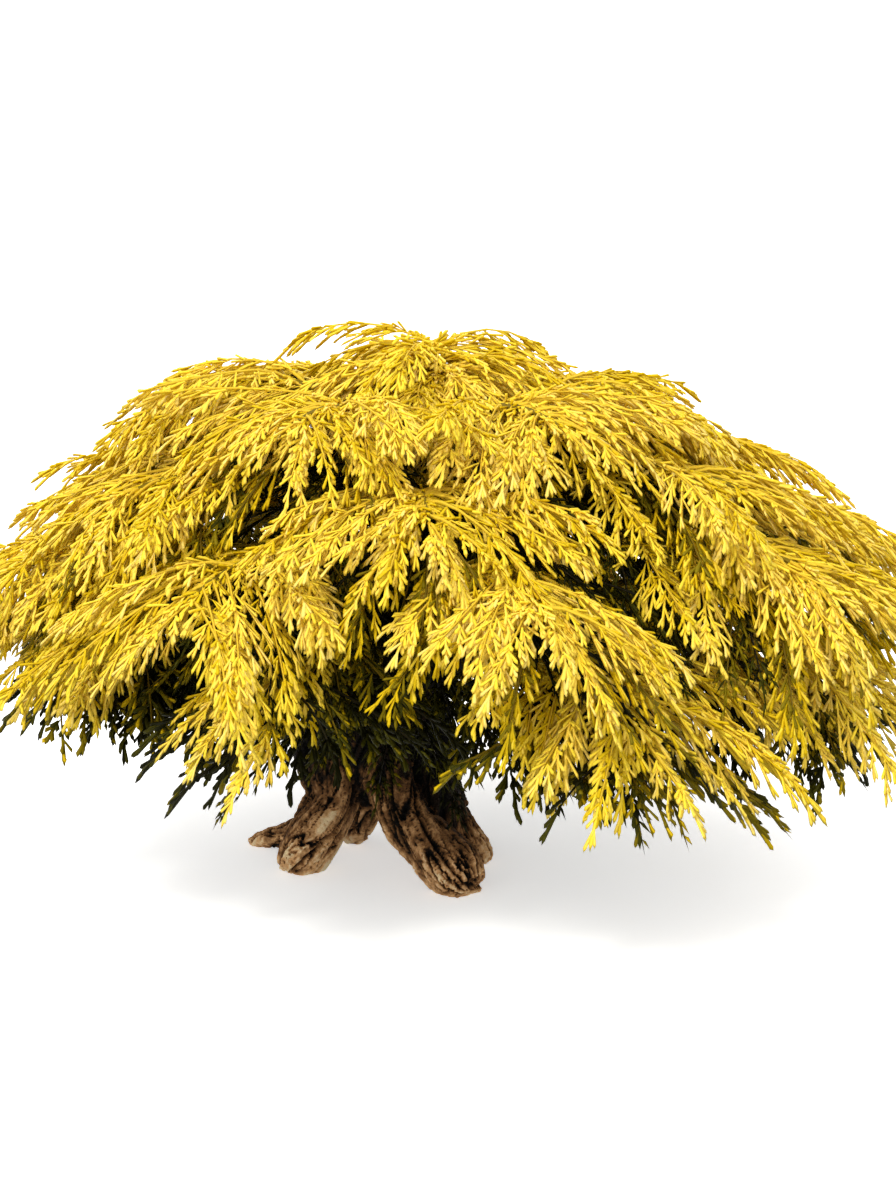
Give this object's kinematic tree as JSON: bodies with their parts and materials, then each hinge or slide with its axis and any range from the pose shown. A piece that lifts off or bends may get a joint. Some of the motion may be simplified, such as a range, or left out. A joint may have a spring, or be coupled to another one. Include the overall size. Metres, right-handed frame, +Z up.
{
  "type": "golden sawara cypress",
  "caption": "Low, wide dome of drooping golden conifer foliage in tiers, on a gnarled trunk with spread roots.",
  "frame": {"origin": "at ground level, on the flat cut under the trunk's main stem, to the right of the trunk's middle", "axes": "+Z up along the trunk, the front of the plant towards -Y, +X to the right as seen from the front"},
  "size_m": [0.5227, 0.5094, 0.2764],
  "materials": {
    "bark": "rough, furrowed bark",
    "foliage": "matte golden foliage"
  },
  "bodies": {
    "root": {"trunk": "bark", "bough_skirt_01": "bark", "bough_skirt_02": "bark", "bough_skirt_03": "bark", "bough_skirt_04": "bark", "bough_skirt_05": "bark", "bough_skirt_06": "bark", "bough_skirt_07": "bark", "bough_skirt_08": "bark", "bough_lower_01": "bark", "bough_lower_02": "bark", "bough_lower_03": "bark", "bough_lower_04": "bark", "bough_lower_05": "bark", "bough_lower_06": "bark", "bough_lower_07": "bark", "bough_lower_08": "bark", "bough_middle_01": "bark", "bough_middle_02": "bark", "bough_middle_03": "bark", "bough_middle_04": "bark", "bough_middle_05": "bark", "bough_middle_06": "bark", "bough_upper_01": "bark", "bough_upper_02": "bark", "bough_upper_03": "bark", "bough_upper_04": "bark", "bough_upper_05": "bark", "bough_upper_06": "bark", "plume_skirt_01": "foliage", "plume_skirt_02": "foliage", "plume_skirt_03": "foliage", "plume_skirt_04": "foliage", "plume_skirt_05": "foliage", "plume_skirt_06": "foliage", "plume_skirt_07": "foliage", "plume_skirt_08": "foliage", "plume_lower_01": "foliage", "plume_lower_02": "foliage", "plume_lower_03": "foliage", "plume_lower_04": "foliage", "plume_lower_05": "foliage", "plume_lower_06": "foliage", "plume_lower_07": "foliage", "plume_lower_08": "foliage", "plume_middle_01": "foliage", "plume_middle_02": "foliage", "plume_middle_03": "foliage", "plume_middle_04": "foliage", "plume_middle_05": "foliage", "plume_middle_06": "foliage", "plume_upper_01": "foliage", "plume_upper_02": "foliage", "plume_upper_03": "foliage", "plume_upper_04": "foliage", "plume_upper_05": "foliage", "plume_upper_06": "foliage", "plume_top": "foliage"}
  },
  "joints": []
}
